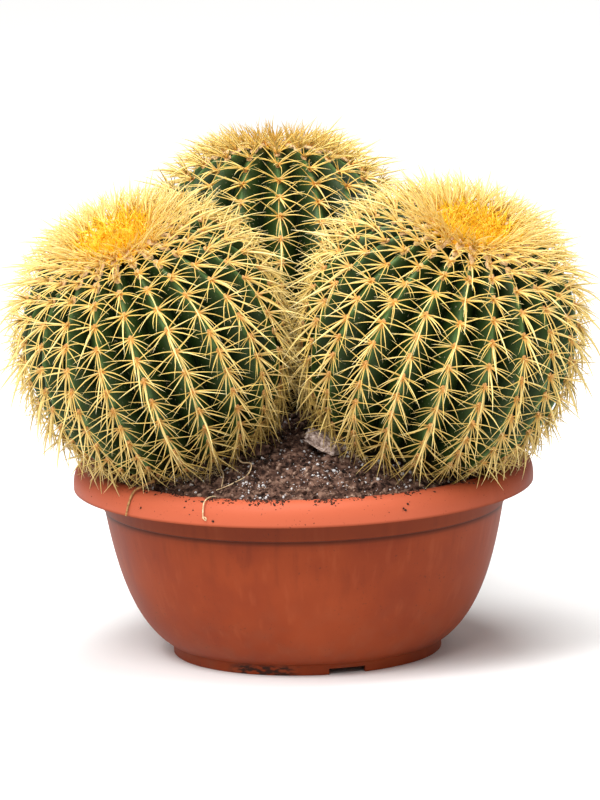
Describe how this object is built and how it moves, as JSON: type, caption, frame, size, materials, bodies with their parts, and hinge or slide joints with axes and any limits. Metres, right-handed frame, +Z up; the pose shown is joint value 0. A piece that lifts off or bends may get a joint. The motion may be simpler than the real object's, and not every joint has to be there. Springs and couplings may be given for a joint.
{
  "type": "potted round cactus",
  "caption": "Round ribbed golden-spined barrel cacti growing together in soil in a wide moulded bowl pot with a hollow turned-down rim.",
  "frame": {"origin": "centre of the whole object's footprint, at the level that the pot's foot ring stands on; the pot's own axis is 46 mm in front of it", "axes": "+Z up, the open soil between the plants faces -Y, +X runs from the left plant to the right plant"},
  "size_m": [0.6519, 0.6135, 0.5538],
  "materials": {
    "terracotta_plastic": "satin",
    "potting_mix": "matte",
    "cactus_skin": "satin",
    "straw_yellow_spines": "satin",
    "golden_crown_wool": "matte",
    "grey_bark": "matte",
    "peat_clod": "matte",
    "dry_root": "matte",
    "dry_straw": "matte"
  },
  "bodies": {
    "root": {"bowl_pot": "terracotta_plastic", "potting_soil": "potting_mix", "left_cactus_stem": "cactus_skin", "left_cactus_areoles_and_spines": "straw_yellow_spines", "left_cactus_crown_wool": "golden_crown_wool", "right_cactus_stem": "cactus_skin", "right_cactus_areoles_and_spines": "straw_yellow_spines", "right_cactus_crown_wool": "golden_crown_wool", "back_cactus_stem": "cactus_skin", "back_cactus_areoles_and_spines": "straw_yellow_spines", "back_cactus_crown_wool": "golden_crown_wool", "bark_chip": "grey_bark", "soil_clod_large": "peat_clod", "soil_clod_small": "peat_clod", "dry_root_loop": "dry_root", "dry_root_straight": "dry_root", "dry_root_over_rim": "dry_root", "straw_over_rim": "dry_straw"}
  },
  "joints": []
}
